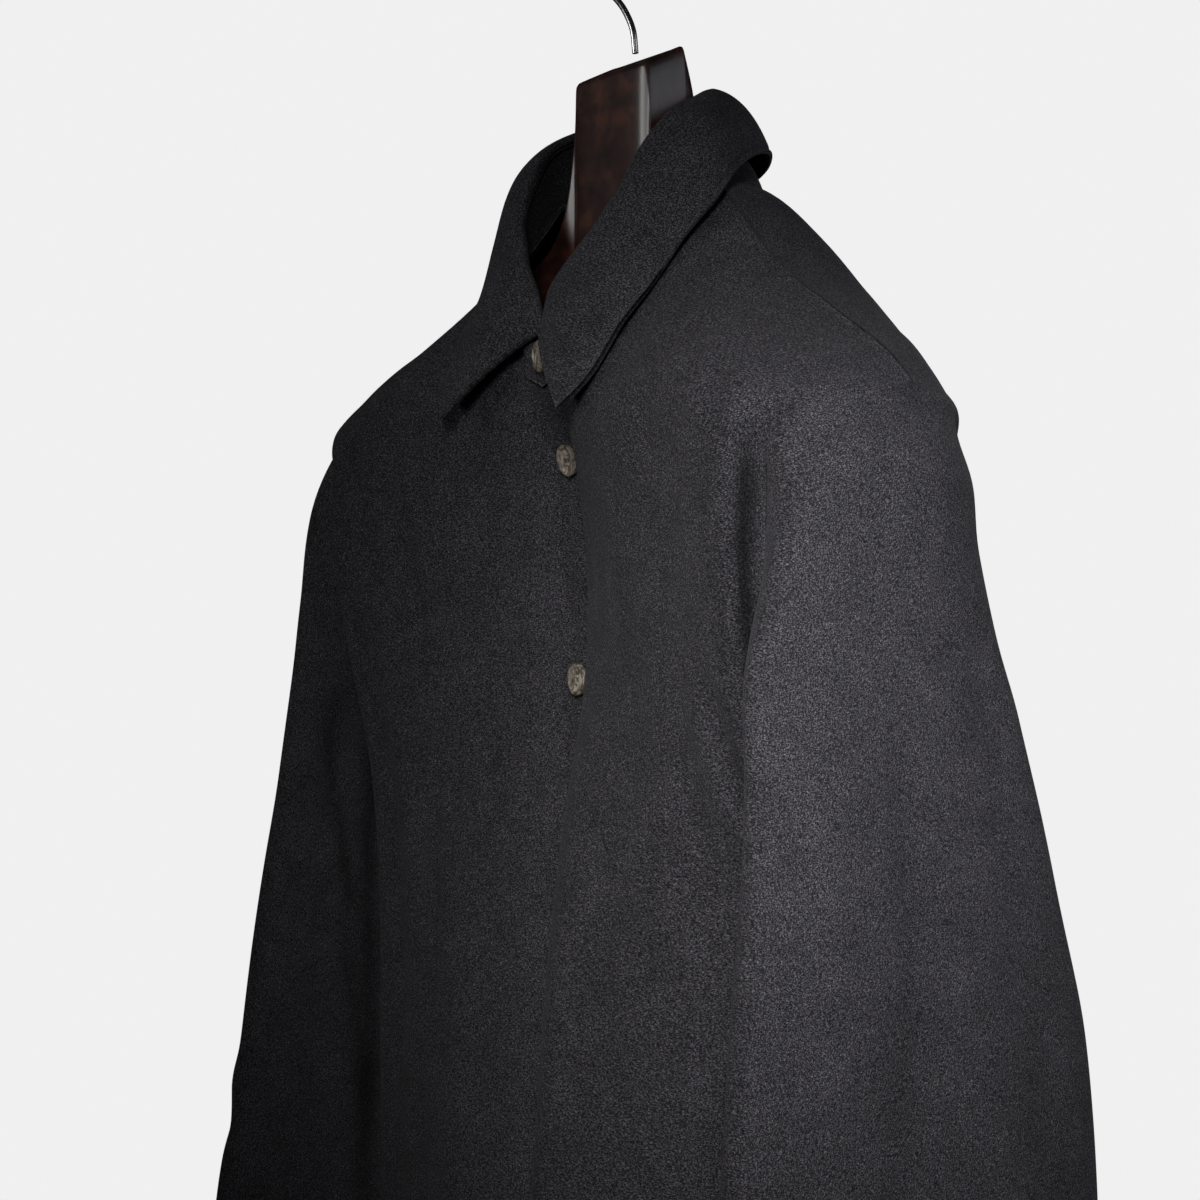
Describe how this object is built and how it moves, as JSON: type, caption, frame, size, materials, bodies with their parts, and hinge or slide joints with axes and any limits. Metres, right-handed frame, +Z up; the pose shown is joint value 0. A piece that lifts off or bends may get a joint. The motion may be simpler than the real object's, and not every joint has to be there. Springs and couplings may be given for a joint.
{
  "type": "overshirt on a wooden hanger",
  "caption": "Buttoned wool overshirt with a turned-down collar and set-in sleeves, on a thick wooden suit hanger with a steel hook.",
  "frame": {"origin": "inside of the hook's crown, where a rail holds the hanger", "axes": "+Z up, -Y the way the garment's front faces, +X towards the wearer's left"},
  "size_m": [0.5652, 0.1783, 0.8681],
  "materials": {
    "wool": "napped charcoal wool twill with pale flecks",
    "dark_wood": "dark red-brown lacquered hardwood",
    "hook_steel": "bright plated wire",
    "horn": "mottled dark horn-like resin, satin"
  },
  "bodies": {
    "root": {"front_left": "wool", "front_right": "wool", "back": "wool", "sleeve_left": "wool", "sleeve_right": "wool", "collar_stand": "wool", "collar_leaf": "wool", "hanger_wood": "dark_wood", "hanger_hook": "hook_steel", "button_collar": "horn", "button_front_1": "horn", "button_front_2": "horn", "button_front_3": "horn", "button_front_4": "horn", "button_front_5": "horn", "button_front_6": "horn"}
  },
  "joints": []
}
